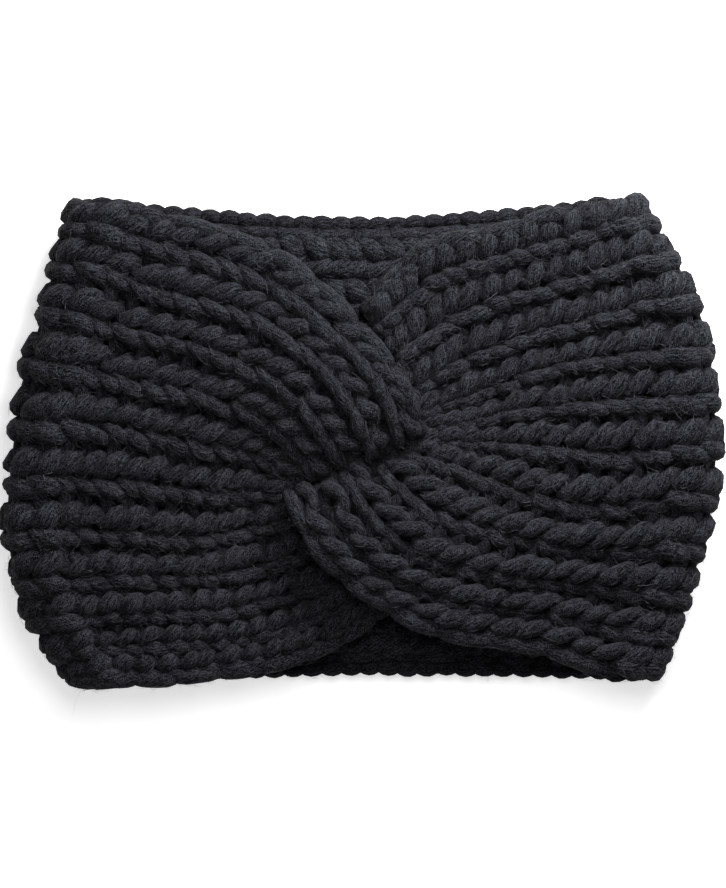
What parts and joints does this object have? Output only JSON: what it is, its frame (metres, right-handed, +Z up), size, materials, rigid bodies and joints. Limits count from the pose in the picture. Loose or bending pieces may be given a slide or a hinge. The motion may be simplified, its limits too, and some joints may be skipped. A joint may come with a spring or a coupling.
{
  "type": "ear warmer headband",
  "caption": "Chunky ribbed knit ear warmer headband lying flat: a wide soft loop whose two front halves are gathered and hooked round each other in a centre twist.",
  "frame": {"origin": "middle of the floor under the band as it lies flat, face up", "axes": "+X across the flat band from its left fold to its right fold, +Y up the band's height towards its top edge, +Z up from the floor through the twist"},
  "size_m": [0.2098, 0.1414, 0.0335],
  "materials": {
    "knit": "matte charcoal wool-like chunky rib knit"
  },
  "bodies": {
    "root": {"knit_band": "knit"}
  },
  "joints": []
}
